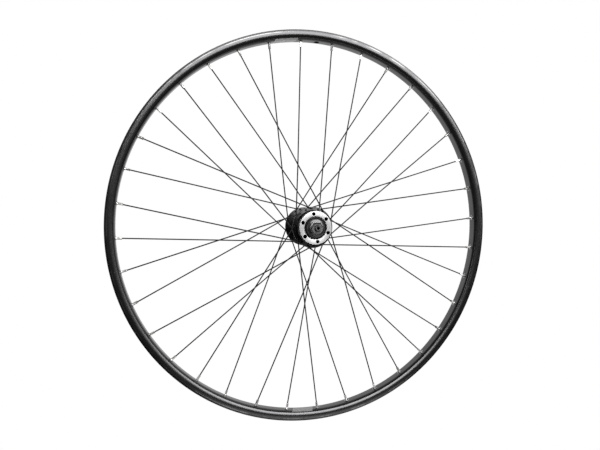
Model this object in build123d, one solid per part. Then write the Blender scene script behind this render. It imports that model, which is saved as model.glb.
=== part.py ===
from build123d import *
import os
from math import asin, cos, radians, sin, sqrt, tan

# Bicycle front wheel with a disc hub, in millimetres.
# The axle lies along Y with the disc side at -Y, +Z is up, and the origin is the centre of the rim.
# Sections are drawn as (radius, y) and turned about Y.

# Rim: a double-wall hoop with a hooked tyre channel
RIM_RADIUS = 317.0
RIM_WIDTH = 24.7
RIM_HEIGHT = 14.8
RIM_WALL = 1.5
RIM_ROUND = 2.0
SIDE_WALL = 1.75
SIDE_HEIGHT = 8.7
LIP_BEVEL = 3.4
LIP_INSET = 0.35
HOOK_DEPTH = 1.1
HOOK_HEIGHT = 3.2
HOOK_ROUND = 0.8
BEAD_SEAT_DEPTH = 6.0
BEAD_SEAT_WIDTH = 3.2
WELL_DEPTH = 2.6
WELL_WIDTH = 11.2
BED_MARGIN = 2.3
KNUCKLE_INSET = 2.15
KNUCKLE_RISE = 1.9
ACCESS_HOLE = 9.0
VALVE_HOLE = 8.5
VALVE_ANGLE = 87.67

# Spokes, laced in crossing pairs
SPOKES = 36
CROSSES = 3
SPOKE_DIAMETER = 2.0
ELBOW_INSIDE_RADIUS = 0.8
CROSSING_RADIUS = 80.0
HEAD_BEARING = 0.6
HEAD_TAPER = 0.6
HEAD_HEIGHT = 0.9
SPOKE_END = 0.2

# Nipples, and the eyelets that they tilt in
NIPPLE_LENGTH = 14.0
NIPPLE_WALL = 1.0
NIPPLE_NECK = 2.6
NIPPLE_FLAT_DEPTH = 0.35
NIPPLE_HEAD_BEARING = 0.55
NIPPLE_HEAD_RISE = 0.9
NIPPLE_SEAT_MARGIN = 0.45
EYELET_WALL = 0.5
EYELET_FLANGE_WIDTH = 0.85
EYELET_FLANGE_THICKNESS = 0.5
EYELET_PROUD = 0.5

# Hub shell: two spoke flanges, the disc mount and the bearing seats, turned from one piece
DISC_OFFSET = 10.5
REGISTER_DIAMETER = 35.0
REGISTER_LENGTH = 2.5
RELIEF_WIDTH = 0.8
RELIEF_DEPTH = 0.6
DISC_CHAMFER = 0.7
BOLT_CIRCLE = 44.0
BOLT_COUNT = 6
BOLT_HOLE = 5.0
BOLT_DEPTH = 11.0
BOLT_EDGE = 5.0
BOLT_ANGLE = 98.6
DISC_FLANGE = 20.9
DISC_FLANGE_STEP = 3.0
PLAIN_FLANGE = 35.2
PLAIN_HOLE_CIRCLE = 58.6
FLANGE_THICKNESS = 3.0
FLANGE_MARGIN = 3.2
FLANGE_CONE = 12.0
FLANGE_ROUND = 0.6
DISC_ROOT_ROUND = 1.2
BARREL_WALL = 4.0
BARREL_ROUND = 6.0
STUB_WALL = 2.9
MOUTH_STEP = 1.6

# Axle and bearings
OVER_LOCKNUTS = 100.0
AXLE_PROUD = 4.0
AXLE_DIAMETER = 9.0
AXLE_BORE = 5.2
AXLE_CHAMFER = 0.6
LOCKNUT_FLATS = 17.0
LOCKNUT_THICKNESS = 4.4
LOCKNUT_CHAMFER = 0.7
WASHER_DIAMETER = 21.2
WASHER_THICKNESS = 1.6
CONE_LENGTH = 9.0
BALL_SETBACK = 7.5
BALL_DIAMETER = 4.7625
BALL_SPACING = 0.43
BALLS_PER_ROW = 10
CUP_WALL = 2.17
CUP_FLOOR = 1.4
CUP_SKIRT = 3.1
CUP_SHOULDER = 1.0
DUST_CAP_THICKNESS = 0.8
DUST_CAP_HEIGHT = 1.9
BOOT_SHOULDER = 1.2
BOOT_ROUND = 0.6
BOOT_TILT = 13.0
BOOT_COLLAR = 20.4

# Clearances
SEAT_CLEARANCE = 0.02
RACE_CLEARANCE = 0.05
EYELET_CLEARANCE = 0.05
NIPPLE_CLEARANCE = 0.08
NIPPLE_TILT_ROOM = 0.75
CROSSING_CLEARANCE = 0.15
RUN_CLEARANCE = 0.25
SPOKE_HOLE_CLEARANCE = 0.3
DUST_CAP_CLEARANCE = 0.8
SEAL_CLEARANCE = 0.4
CUT_OVERRUN = 1.0

# Radii and planes that several pieces share
BED_RADIUS = RIM_RADIUS - RIM_HEIGHT
BEAD_SEAT_RADIUS = RIM_RADIUS - BEAD_SEAT_DEPTH
WELL_RADIUS = BEAD_SEAT_RADIUS - WELL_DEPTH
CHAMBER_MIDDLE = (BED_RADIUS + WELL_RADIUS) / 2
SPOKE_RADIUS = SPOKE_DIAMETER / 2
SPOKE_HOLE_RADIUS = SPOKE_RADIUS + SPOKE_HOLE_CLEARANCE
HEAD_RADIUS = SPOKE_HOLE_RADIUS + HEAD_BEARING
NIPPLE_RADIUS = SPOKE_RADIUS + NIPPLE_WALL
EYELET_BORE_RADIUS = NIPPLE_RADIUS + NIPPLE_TILT_ROOM
EYELET_TUBE_RADIUS = EYELET_BORE_RADIUS + EYELET_WALL
EYELET_FLANGE_RADIUS = EYELET_TUBE_RADIUS + EYELET_FLANGE_WIDTH
EYELET_SEAT = sqrt(BED_RADIUS**2 - EYELET_FLANGE_RADIUS**2) - SEAT_CLEARANCE
EYELET_TOP = BED_RADIUS + RIM_WALL + EYELET_PROUD
NIPPLE_SEAT_RADIUS = EYELET_BORE_RADIUS + NIPPLE_SEAT_MARGIN
NIPPLE_SEAT_ANGLE = asin(EYELET_BORE_RADIUS / NIPPLE_SEAT_RADIUS)
NIPPLE_SEAT_DROP = NIPPLE_SEAT_RADIUS * cos(NIPPLE_SEAT_ANGLE)
NIPPLE_PIVOT = EYELET_TOP + NIPPLE_SEAT_DROP + NIPPLE_CLEARANCE
PITCH = 360 / SPOKES
LEAN_ANGLE = 2 * PITCH * CROSSES
LACING = [("disc", "trailing"), ("plain", "trailing"), ("disc", "leading"), ("plain", "leading")]

DISC_FACE = OVER_LOCKNUTS / 2 - DISC_OFFSET
SHELL_END = DISC_FACE + REGISTER_LENGTH
DISC_RADIUS = BOLT_CIRCLE / 2 + BOLT_EDGE
CONE_END = OVER_LOCKNUTS / 2 - LOCKNUT_THICKNESS - WASHER_THICKNESS
BALL_PLANE = CONE_END - BALL_SETBACK
BALL_RADIUS = BALL_DIAMETER / 2
BALL_CIRCLE_RADIUS = (BALL_RADIUS + BALL_SPACING / 2) / sin(radians(180 / BALLS_PER_ROW))
RACE_RADIUS = BALL_RADIUS + RACE_CLEARANCE
CUP_RADIUS = BALL_CIRCLE_RADIUS + RACE_RADIUS + CUP_WALL
CUP_END = BALL_PLANE + CUP_SKIRT
CUP_BACK = BALL_PLANE - RACE_RADIUS - CUP_FLOOR
MOUTH_RADIUS = CUP_RADIUS + MOUTH_STEP
STUB_RADIUS = MOUTH_RADIUS + STUB_WALL
BARREL_BORE_RADIUS = CUP_RADIUS - CUP_SHOULDER
BARREL_RADIUS = BARREL_BORE_RADIUS + BARREL_WALL
AXLE_FIT_RADIUS = AXLE_DIAMETER / 2 + SEAT_CLEARANCE


def section(points, rounds=None):
    """A closed outline in the (radius, y) plane, with a round at each corner that has one."""
    corner_rounds = rounds or [0] * len(points)
    return make_face(FilletPolyline(*points, radius=corner_rounds, close=True))


def mirrored(half):
    """A half outline at +y, followed back along -y."""
    return half + [(r, -y) for r, y in reversed(half)]


def turned(points, rounds=None):
    """A ring about the axle with that section."""
    return revolve(section(points, rounds), Axis.Y)


def at_angle(shape, angle):
    """The shape turned about the axle, anticlockwise seen from the disc side."""
    return Rot(0, -angle, 0) * shape


def on_circle(radius, angle, y=0):
    """A point at that angle round the axle."""
    return Vector(radius * cos(radians(angle)), y, radius * sin(radians(angle)))


def radial_hole(radius, start, end):
    """A cutter along +X between two distances from the axle."""
    upright = Cylinder(radius, end - start, align=(Align.CENTER, Align.CENTER, Align.MIN))
    return Pos(start, 0, 0) * Rot(0, 90, 0) * upright


def both_sides(name, shape):
    """A bearing piece drawn at +y, and its mirror image at the disc side."""
    return {f"{name}_plain_side": shape, f"{name}_disc_side": mirror(shape, about=Plane.XZ)}


def rim_angle(n):
    """Where spoke n meets the rim. The valve hole is half a pitch before the first spoke."""
    return VALVE_ANGLE + PITCH * (n + 0.5)


def make_rim():
    """The rolled hoop: spoke bed, side walls with hooked lips, tyre well and the chamber between."""
    side = RIM_WIDTH / 2
    wall = side - SIDE_WALL
    hook = wall - HOOK_DEPTH
    bed = [
        (BED_RADIUS, EYELET_FLANGE_RADIUS + BED_MARGIN),
        (BED_RADIUS + KNUCKLE_RISE, side - KNUCKLE_INSET),
        (RIM_RADIUS - SIDE_HEIGHT, side),
    ]
    lip = [
        (RIM_RADIUS - LIP_BEVEL, side),
        (RIM_RADIUS, side - LIP_INSET),
        (RIM_RADIUS, hook + HOOK_ROUND),
        (RIM_RADIUS - HOOK_ROUND, hook),
        (RIM_RADIUS - HOOK_HEIGHT + HOOK_DEPTH, hook),
        (RIM_RADIUS - HOOK_HEIGHT, wall),
    ]
    well = [
        (BEAD_SEAT_RADIUS, wall),
        (BEAD_SEAT_RADIUS, wall - BEAD_SEAT_WIDTH),
        (WELL_RADIUS, WELL_WIDTH / 2),
    ]
    rounds = [RIM_ROUND, 0, RIM_ROUND] + [0] * len(lip + well)
    outline = section(mirrored(bed + lip + well), rounds + rounds[::-1])
    chamber = offset(section(mirrored(bed + well)), -RIM_WALL, kind=Kind.INTERSECTION)
    hoop = revolve(outline - chamber, Axis.Y)

    inside = BED_RADIUS - CUT_OVERRUN
    outside = RIM_RADIUS + CUT_OVERRUN
    eyelet_hole = radial_hole(EYELET_TUBE_RADIUS + EYELET_CLEARANCE, inside, CHAMBER_MIDDLE)
    access_hole = radial_hole(ACCESS_HOLE / 2, CHAMBER_MIDDLE, outside)
    valve_hole = radial_hole(VALVE_HOLE / 2, inside, outside)
    holes = [at_angle(valve_hole, VALVE_ANGLE)]
    for n in range(SPOKES):
        holes.append(at_angle(eyelet_hole, rim_angle(n)))
        holes.append(at_angle(access_hole, rim_angle(n)))
    return hoop - holes


def lacing(n):
    """(side of the hub, lean) of spoke n. Trailing spokes have their heads outside the flange."""
    return LACING[n % len(LACING)]


def flange_of(side):
    """(outward direction along y, middle plane, radius of the hole circle) of a spoke flange."""
    if side == "disc":
        return -1, -DISC_FLANGE, DISC_RADIUS + DISC_FLANGE_STEP
    return 1, PLAIN_FLANGE, PLAIN_HOLE_CIRCLE / 2


def flange_half(offset_from_holes):
    """Half the flange's thickness at a distance out from the hole circle: it thins towards the edge."""
    return FLANGE_THICKNESS / 2 - offset_from_holes * tan(radians(FLANGE_CONE))


def run_lift(hole, crossing, crossing_lift):
    """How far from the flange's middle an outside spoke leaves its elbow, to clear the flange's edge.

    The spoke slopes from there to crossing_lift at the crossing.
    """
    along = (crossing - hole).normalized()
    reach = (crossing - hole).length
    edge_radius = hole.length + FLANGE_MARGIN
    to_edge = sqrt(edge_radius**2 - hole.length**2 + hole.dot(along) ** 2) - hole.dot(along)
    edge_lift = flange_half(FLANGE_MARGIN) + SPOKE_RADIUS + RUN_CLEARANCE
    share = to_edge / reach
    return (edge_lift - crossing_lift * share) / (1 - share)


def spoke_points(n):
    """Head seat, elbow, last crossing and nipple pivot of spoke n.

    At the last crossing a pair changes places, so that the two spokes brace each other there.
    """
    side, lean = lacing(n)
    out, middle, hole_radius = flange_of(side)
    turn = 1 if lean == "trailing" else -1
    angle = rim_angle(n)
    hole = on_circle(hole_radius, angle + turn * LEAN_ANGLE)
    pivot = on_circle(NIPPLE_PIVOT, angle)
    bearing = radians(angle + turn * PITCH)
    across = Vector(-sin(bearing), 0, cos(bearing))
    share = hole.dot(across) / (hole - pivot).dot(across)
    crossing = hole + (pivot - hole) * share
    crossing_y = middle * (1 - share) + out * turn * (SPOKE_RADIUS + CROSSING_CLEARANCE / 2)
    beside_face = FLANGE_THICKNESS / 2 + SPOKE_RADIUS + RUN_CLEARANCE
    over_edge = run_lift(hole, crossing, out * (crossing_y - middle))
    run_y = middle - out * turn * max(beside_face, over_edge)
    seat_y = middle + out * turn * (flange_half(-HEAD_RADIUS) + SEAT_CLEARANCE)
    seat = Vector(hole.X, seat_y, hole.Z)
    elbow = Vector(hole.X, run_y, hole.Z)
    bend = Vector(crossing.X, crossing_y, crossing.Z)
    return seat, elbow, bend, pivot


def make_spoke(n):
    """A wire from its head through the flange, round the elbow, past its partner and into the nipple."""
    seat, elbow, bend, pivot = spoke_points(n)
    end = pivot + (pivot - bend).normalized() * SPOKE_END
    bends = [SPOKE_RADIUS + ELBOW_INSIDE_RADIUS, CROSSING_RADIUS]
    path = FilletPolyline(seat, elbow, bend, end, radius=bends)
    wire = sweep(Plane(seat, z_dir=elbow - seat) * Circle(SPOKE_RADIUS), path=path)
    head = Cone(
        HEAD_RADIUS,
        HEAD_RADIUS - HEAD_TAPER,
        HEAD_HEIGHT,
        align=(Align.CENTER, Align.CENTER, Align.MIN),
    )
    return wire + Plane(seat, z_dir=seat - elbow) * head


def make_nipple():
    """A nipple along +Z with its pivot at the origin. Its seat is a cone, so it can tilt in the eyelet."""
    bore = SPOKE_RADIUS + SEAT_CLEARANCE
    head = EYELET_BORE_RADIUS + NIPPLE_HEAD_BEARING
    slope = tan(NIPPLE_SEAT_ANGLE)
    neck_top = -NIPPLE_SEAT_DROP - NIPPLE_TILT_ROOM * slope
    head_edge = -NIPPLE_SEAT_DROP + NIPPLE_HEAD_BEARING * slope
    foot = NIPPLE_HEAD_RISE - NIPPLE_LENGTH
    body = turned(
        [
            (bore, foot),
            (NIPPLE_RADIUS, foot),
            (NIPPLE_RADIUS, neck_top),
            (head, head_edge),
            (head, NIPPLE_HEAD_RISE),
            (bore, NIPPLE_HEAD_RISE),
        ]
    )
    shank = neck_top - NIPPLE_NECK - foot
    across_flats = 2 * (NIPPLE_RADIUS - NIPPLE_FLAT_DEPTH)
    around = 2 * NIPPLE_RADIUS + CUT_OVERRUN
    flats = Box(around, around, shank) - Box(across_flats, across_flats, shank)
    return Rot(90, 0, 0) * body - Pos(0, 0, foot + shank / 2) * flats


def make_nipples():
    nipple = make_nipple()
    nipples = []
    for n in range(SPOKES):
        _, _, bend, pivot = spoke_points(n)
        nipples.append(Plane(pivot, x_dir=(0, 1, 0), z_dir=pivot - bend) * nipple)
    return Compound(children=nipples)


def make_eyelets():
    """Flanged rings that line the spoke holes and carry the nipples' heads."""
    eyelet = Rot(0, 0, -90) * turned(
        [
            (EYELET_BORE_RADIUS, EYELET_SEAT - EYELET_FLANGE_THICKNESS),
            (EYELET_FLANGE_RADIUS, EYELET_SEAT - EYELET_FLANGE_THICKNESS),
            (EYELET_FLANGE_RADIUS, EYELET_SEAT),
            (EYELET_TUBE_RADIUS, EYELET_SEAT),
            (EYELET_TUBE_RADIUS, EYELET_TOP),
            (EYELET_BORE_RADIUS, EYELET_TOP),
        ]
    )
    return Compound(children=[at_angle(eyelet, rim_angle(n)) for n in range(SPOKES)])


def flange_outline(side, root_out, root_in):
    """A spoke flange's corners, from its root on the outside to its edge and back to the barrel."""
    out, middle, hole_radius = flange_of(side)
    edge = hole_radius + FLANGE_MARGIN
    return [
        (root_out, middle + out * flange_half(root_out - hole_radius)),
        (edge, middle + out * flange_half(FLANGE_MARGIN)),
        (edge, middle - out * flange_half(FLANGE_MARGIN)),
        (root_in, middle - out * flange_half(root_in - hole_radius)),
    ]


def make_hub_shell():
    """The shell from the disc end to the plain end, then its inside back again."""
    register = REGISTER_DIAMETER / 2
    relief_edge = register + RELIEF_WIDTH
    relief_floor = RELIEF_DEPTH - DISC_FACE
    disc_end = [
        (MOUTH_RADIUS, -SHELL_END),
        (register, -SHELL_END),
        (register, relief_floor),
        (relief_edge, relief_floor),
        (relief_edge, -DISC_FACE),
        (DISC_RADIUS - DISC_CHAMFER, -DISC_FACE),
        (DISC_RADIUS, DISC_CHAMFER - DISC_FACE),
    ]
    plain_end = [
        (STUB_RADIUS, SHELL_END),
        (MOUTH_RADIUS, SHELL_END),
    ]
    inside = [
        (MOUTH_RADIUS, CUP_END),
        (CUP_RADIUS, CUP_END),
        (CUP_RADIUS, CUP_BACK),
        (BARREL_BORE_RADIUS, CUP_BACK),
    ]
    disc_flange = flange_outline("disc", DISC_RADIUS, BARREL_RADIUS)
    plain_flange = flange_outline("plain", STUB_RADIUS, BARREL_RADIUS)[::-1]
    flange_rounds = [DISC_ROOT_ROUND, FLANGE_ROUND, FLANGE_ROUND, BARREL_ROUND]
    outline = disc_end + disc_flange + plain_flange + plain_end + mirrored(inside)
    straight_end = [0] * len(plain_end + mirrored(inside))
    rounds = [0] * len(disc_end) + flange_rounds + flange_rounds[::-1] + straight_end
    return turned(outline, rounds) - spoke_holes() - bolt_holes()


def spoke_holes():
    """A hole through the flange where each spoke's head and elbow are."""
    holes = []
    for n in range(SPOKES):
        seat, elbow, _, _ = spoke_points(n)
        middle = (seat + elbow) / 2
        length = (seat - elbow).length + 2 * CUT_OVERRUN
        holes.append(Pos(middle) * Rot(90, 0, 0) * Cylinder(SPOKE_HOLE_RADIUS, length))
    return holes


def bolt_holes():
    """The disc's screw holes."""
    upright = Cylinder(BOLT_HOLE / 2, BOLT_DEPTH)
    hole = Pos(BOLT_CIRCLE / 2, BOLT_DEPTH / 2 - DISC_FACE, 0) * Rot(90, 0, 0) * upright
    return [at_angle(hole, BOLT_ANGLE + 360 / BOLT_COUNT * i) for i in range(BOLT_COUNT)]


def race_ring(corners, outward):
    """A ring with a quarter-round race. outward is 1 for the cup, outside the balls, and -1 for the cone.

    The corners run from the race's end beside the balls to its end behind or before them.
    """
    diagonal = RACE_RADIUS * sqrt(0.5)
    beside = (BALL_CIRCLE_RADIUS + outward * RACE_RADIUS, BALL_PLANE)
    behind = (BALL_CIRCLE_RADIUS, BALL_PLANE - outward * RACE_RADIUS)
    between = (BALL_CIRCLE_RADIUS + outward * diagonal, BALL_PLANE - outward * diagonal)
    outline = Polyline(beside, *corners, behind) + ThreePointArc(behind, between, beside)
    return revolve(make_face(outline), Axis.Y)


def make_cup():
    radius = CUP_RADIUS - SEAT_CLEARANCE
    back = CUP_BACK + SEAT_CLEARANCE
    skirt = (BALL_CIRCLE_RADIUS + RACE_RADIUS, CUP_END)
    return race_ring([skirt, (radius, CUP_END), (radius, back), (BALL_CIRCLE_RADIUS, back)], 1)


def make_cone():
    nose = CONE_END - CONE_LENGTH
    nose_edge = (BALL_CIRCLE_RADIUS - RACE_RADIUS, nose)
    bore = [(AXLE_FIT_RADIUS, nose), (AXLE_FIT_RADIUS, CONE_END)]
    return race_ring([nose_edge, *bore, (BALL_CIRCLE_RADIUS, CONE_END)], -1)


def make_dust_cap_and_boot():
    """The pressed cap in the shell's mouth, and the rubber boot on the cone that runs inside its lip."""
    cap_radius = MOUTH_RADIUS - SEAT_CLEARANCE
    cap_bore = BALL_CIRCLE_RADIUS + DUST_CAP_CLEARANCE
    lip = cap_radius - DUST_CAP_THICKNESS
    back = CUP_END + SEAT_CLEARANCE
    face = back + DUST_CAP_THICKNESS
    top = back + DUST_CAP_HEIGHT
    cap = turned(
        [
            (cap_bore, back),
            (cap_radius, back),
            (cap_radius, top),
            (lip, top),
            (lip, face),
            (cap_bore, face),
        ]
    )
    boot_bore = BALL_CIRCLE_RADIUS + SEAT_CLEARANCE
    boot_radius = lip - SEAL_CLEARANCE
    boot_back = face + SEAL_CLEARANCE
    boot_front = CONE_END - SEAT_CLEARANCE
    collar = BOOT_COLLAR / 2
    shoulder = boot_back + BOOT_SHOULDER
    slope_top = shoulder + (boot_radius - collar) * tan(radians(BOOT_TILT))
    boot = turned(
        [
            (boot_bore, boot_back),
            (boot_radius, boot_back),
            (boot_radius, shoulder),
            (collar, slope_top),
            (collar, boot_front),
            (boot_bore, boot_front),
        ],
        [0, 0, BOOT_ROUND, BOOT_ROUND, 0, 0],
    )
    return cap, boot


def make_washer():
    bore = AXLE_FIT_RADIUS
    radius = WASHER_DIAMETER / 2
    front = CONE_END + WASHER_THICKNESS
    return turned([(bore, CONE_END), (radius, CONE_END), (radius, front), (bore, front)])


def make_locknut():
    """A hexagon with its outer corners turned off, a flat at the top."""
    front = OVER_LOCKNUTS / 2
    back = front - LOCKNUT_THICKNESS
    flats = LOCKNUT_FLATS / 2
    hexagon_face = Plane((0, back, 0), z_dir=(0, 1, 0)) * RegularPolygon(flats, 6, False, 30)
    hexagon = extrude(hexagon_face, LOCKNUT_THICKNESS)
    corner = flats / cos(radians(180 / 6))
    blank = turned(
        [
            (AXLE_FIT_RADIUS, back),
            (corner, back),
            (corner, front - LOCKNUT_CHAMFER),
            (flats, front),
            (AXLE_FIT_RADIUS, front),
        ]
    )
    return hexagon & blank


def make_balls():
    ball = Sphere(BALL_RADIUS)
    balls = []
    for row in (-BALL_PLANE, BALL_PLANE):
        for i in range(BALLS_PER_ROW):
            balls.append(Pos(on_circle(BALL_CIRCLE_RADIUS, 360 / BALLS_PER_ROW * i, row)) * ball)
    return Compound(children=balls)


def make_axle():
    end = OVER_LOCKNUTS / 2 + AXLE_PROUD
    radius = AXLE_DIAMETER / 2
    half = [(AXLE_BORE / 2, end), (radius - AXLE_CHAMFER, end), (radius, end - AXLE_CHAMFER)]
    return turned(mirrored(half))


def make_spokes():
    """One spoke of each kind, repeated round the wheel."""
    spokes = {}
    repeats = SPOKES // len(LACING)
    for n, (side, lean) in enumerate(LACING):
        spoke = make_spoke(n)
        for i in range(repeats):
            spokes[f"spoke_{side}_{lean}_{i + 1}"] = at_angle(spoke, 360 / repeats * i)
    return spokes


dust_cap, boot = make_dust_cap_and_boot()
wheel = {
    "rim": make_rim(),
    "eyelets": make_eyelets(),
    "spoke_nipples": make_nipples(),
    **make_spokes(),
    "hub_shell": make_hub_shell(),
    **both_sides("bearing_cup", make_cup()),
    "bearing_balls": make_balls(),
    **both_sides("bearing_cone", make_cone()),
    **both_sides("dust_cap", dust_cap),
    **both_sides("boot", boot),
    **both_sides("washer", make_washer()),
    **both_sides("locknut", make_locknut()),
    "axle": make_axle(),
}

os.makedirs("parts", exist_ok=True)
for name, shape in wheel.items():
    export_step(shape, f"parts/{name}.step")
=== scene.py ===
from math import atan2, ceil, cos, pi, radians, sin, sqrt, tan

import bmesh
import bpy
from mathutils import Matrix, Vector


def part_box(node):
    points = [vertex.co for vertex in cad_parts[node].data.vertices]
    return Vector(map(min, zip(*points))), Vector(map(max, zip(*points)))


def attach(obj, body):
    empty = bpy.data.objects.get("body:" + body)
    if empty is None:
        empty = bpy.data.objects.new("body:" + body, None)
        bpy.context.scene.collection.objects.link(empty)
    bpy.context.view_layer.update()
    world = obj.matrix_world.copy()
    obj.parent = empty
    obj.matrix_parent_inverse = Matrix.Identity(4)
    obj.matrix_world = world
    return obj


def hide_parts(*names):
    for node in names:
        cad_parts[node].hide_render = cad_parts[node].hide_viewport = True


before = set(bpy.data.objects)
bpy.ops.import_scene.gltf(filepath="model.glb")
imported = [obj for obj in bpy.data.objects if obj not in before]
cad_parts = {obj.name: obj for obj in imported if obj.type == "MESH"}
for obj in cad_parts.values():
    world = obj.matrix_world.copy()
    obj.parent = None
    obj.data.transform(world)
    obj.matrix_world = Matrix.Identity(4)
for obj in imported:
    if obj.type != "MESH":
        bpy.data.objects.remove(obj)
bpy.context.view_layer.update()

# Meshes are drawn in millimetres. Outlines are (distance from the axle, y along the axle).
MM = 0.001
SIDES = {"disc": -1, "plain": 1}

# Points within this of a size are taken to be at it
HAIR = 0.01

# How finely things are drawn: steps to a turn, degrees to a step of a round, and the angle of a sharp edge
RIM_STEPS = 360
HUB_STEPS = 180
RING_STEPS = 96
AXLE_STEPS = 64
NIPPLE_STEPS = 40
EYELET_STEPS = 40
HOLE_STEPS = 32
SPOKE_HOLE_STEPS = 24
ROUND_STEP = 18
SHARP_ANGLE = 32
NUT_SHARP_ANGLE = 25

# Rim
RIM_RADIUS = 317.0
RIM_SIDE = 12.35
RIM_WALL = 1.5
BED_RADIUS = 302.2
BED_SIDE = 6.4
BED_ROUND = 2.0
KNUCKLE_RADIUS = 304.1
KNUCKLE_SIDE = 10.2
KNUCKLE_ROUND = 2.2
SIDE_START = 308.3
SIDE_ROUND = 8.0
LIP_START = 313.6
LIP_OUTSIDE = 12.0
LIP_INSIDE = 10.3
EDGE_ROUND = 0.4
HOOK_TOP = 316.2
HOOK_BOTTOM = 314.9
HOOK_TIP = 9.5
HOOK_ROOT = 313.8
HOOK_ROUND = 0.25
CHANNEL_SIDE = 10.6
SEAT_RADIUS = 311.0
SEAT_SIDE = 7.4
WELL_RADIUS = 308.4
WELL_SIDE = 5.6
WELL_ROUND = 0.8
CHAMBER_MIDDLE = 305.3
ACCESS_HOLE_RADIUS = 4.5
VALVE_HOLE_RADIUS = 4.25
VALVE_ANGLE = 87.67
HOLE_BREAK = 0.3

# Cutters: how far they stand out, how far two keep apart, and how far below the spoke bed a flare starts
CUTTER_REACH = 1
CUTTER_GAP = 0.3
FLARE_START = 0.03

# Plain labels on the rim: where they start and end round the rim and across it, and how pale they are
LABELS = {
    "rim_label_by_valve": (94.5, 101.6, -9.6, 4.6, 0.75),
    "rim_label_by_joint": (264.7, 271.2, -8.9, 4.6, 0.34),
}
LABEL_SLANT = 0.06
LABEL_PROUD = 0.1
LABEL_COLUMNS = 24
LABEL_ROWS = 16

# The part of the rim's outline that a label can lie on
SKIN_SIDE = 10.1
SKIN_RADIUS = 304.3

# Spokes and nipples
SPOKES = 36
PITCH = 360 / SPOKES
CROSSES = 3
SPOKE_RADIUS = 1.0
CROSSING_CLEARANCE = 0.15
NIPPLE_PIVOT = 305.916
NIPPLE_RADIUS = 2.0
NIPPLE_HEAD_RADIUS = 3.3
NIPPLE_BORE_RADIUS = 1.02
NIPPLE_BORE_ROUND = 0.2
NIPPLE_FLAT_DEPTH = 0.35
NIPPLE_FOOT = -13.1
NIPPLE_FOOT_ROUND = 0.5
NIPPLE_SHANK_TOP = -5.5
NIPPLE_SHANK_FADE = 0.8
NIPPLE_FADE_ROWS = 4
NIPPLE_NECK_TOP = -2.9
NIPPLE_NECK_ROUND = 0.5
NIPPLE_HEAD_EDGE = -0.71
NIPPLE_EDGE_ROUND = 0.2
NIPPLE_HEAD_TOP = 0.9
NIPPLE_TOP_ROUND = 0.4
NIPPLE_SLOT_WIDTH = 1.1
NIPPLE_SLOT_DEPTH = 0.8
NIPPLE_TURN = 37.0

# Eyelets
EYELET_BORE_RADIUS = 2.75
EYELET_TUBE_RADIUS = 3.25
EYELET_HOLE_RADIUS = 3.3
EYELET_FLANGE_RADIUS = 4.1
EYELET_FLANGE_THICKNESS = 0.5
EYELET_FLANGE_ROUND = 0.3
EYELET_SEAT = 302.15
EYELET_TOP = 304.2
EYELET_TOP_ROUND = 0.15

# Hub shell
DISC_FACE = 39.5
DISC_FACE_ROUND = 0.1
DISC_RADIUS = 27.0
DISC_CHAMFER = 0.7
DISC_ROUND = 0.2
REGISTER_RADIUS = 17.5
RELIEF_RADIUS = 18.3
RELIEF_DEPTH = 0.6
RELIEF_ROUND = 0.15
BOLTS = 6
BOLT_ANGLE = 98.6
BOLT_CIRCLE_RADIUS = 22.0
BOLT_HOLE_RADIUS = 2.5
BOLT_HOLE_BREAK = 0.5
BOLT_DEPTH = 11.0
FLANGE_PLANE = {"disc": -20.9, "plain": 35.2}
FLANGE_HOLE_CIRCLE = {"disc": 30.0, "plain": 29.3}
FLANGE_HALF = 1.5
FLANGE_CONE = 12.0
FLANGE_MARGIN = 3.2
FLANGE_ROOT_ROUND = 1.2
FLANGE_EDGE_ROUND = 0.6
SPOKE_HOLE_RADIUS = 1.3
SPOKE_HOLE_REACH = 4
BARREL_RADIUS = 16.0
BARREL_FILLET = 6.0
BARREL_BORE_RADIUS = 12.0
STUB_RADIUS = 17.5
SHELL_END = 42.0
SHELL_END_ROUND = 0.4
MOUTH_RADIUS = 14.6
MOUTH_ROUND = 0.3
CUP_RADIUS = 13.0
CUP_END = 39.6
CUP_BACK = 32.67

# Axle, locknuts, washers and boots
AXLE_RADIUS = 4.5
AXLE_BORE_RADIUS = 2.6
AXLE_END = 54.0
AXLE_CHAMFER = 0.6
AXLE_MOUTH_CHAMFER = 0.3
THREAD_START = 44.0
THREAD_END = 53.0
THREAD_PITCH = 1.0
THREAD_DEPTH = 0.4
THREAD_ROWS = 8
LOCKNUT_BACK = 45.6
LOCKNUT_FACE = 50.0
LOCKNUT_HALF_FLATS = 8.5
LOCKNUT_BORE_RADIUS = 4.52
LOCKNUT_CHAMFER = 0.7
LOCKNUT_CHAMFER_ANGLE = 30
LOCKNUT_MOUTH_CHAMFER = 0.4
SERRATIONS = 36
SERRATION_STEPS = 4
SERRATION_DEPTH = 0.2
SERRATION_START = 6.2
SERRATION_END = 8.1
WASHER_EDGE = 0.25
BOOT_BORE_RADIUS = 8.42
BOOT_COLLAR_RADIUS = 10.2
BOOT_COLLAR_ROUND = 0.2
BOOT_SHOULDER = 1.2
BOOT_TILT = 13.0
BOOT_ROUND = 0.6
BOOT_EDGE_ROUND = 0.3

# Marks in the finishes: where clouds start and end, where scuffs start and how much Amount lowers that, how
# hard scuffs' edges are, how often a lathe line changes on its way round, and the width of the rim's joint
CLOUDS = (0.3, 0.7)
SCUFF_LEVEL = 0.78
SCUFF_LEVEL_DROP = 0.3
SCUFF_CONTRAST = 8.0
LINE_CHANGES_ROUND = 3.0
JOINT_HALF_TURNS = 0.00004

# The photograph's view: the camera's place round the wheel, where it points and its lens
CAMERA_AZIMUTH = -15.310
CAMERA_ELEVATION = 2.006
CAMERA_DISTANCE = 0.8451
CAMERA_AIM = Vector((-0.01547, 0.0, 0.00332))
LENS_MM = 30.76
SENSOR_MM = 36.0

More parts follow.
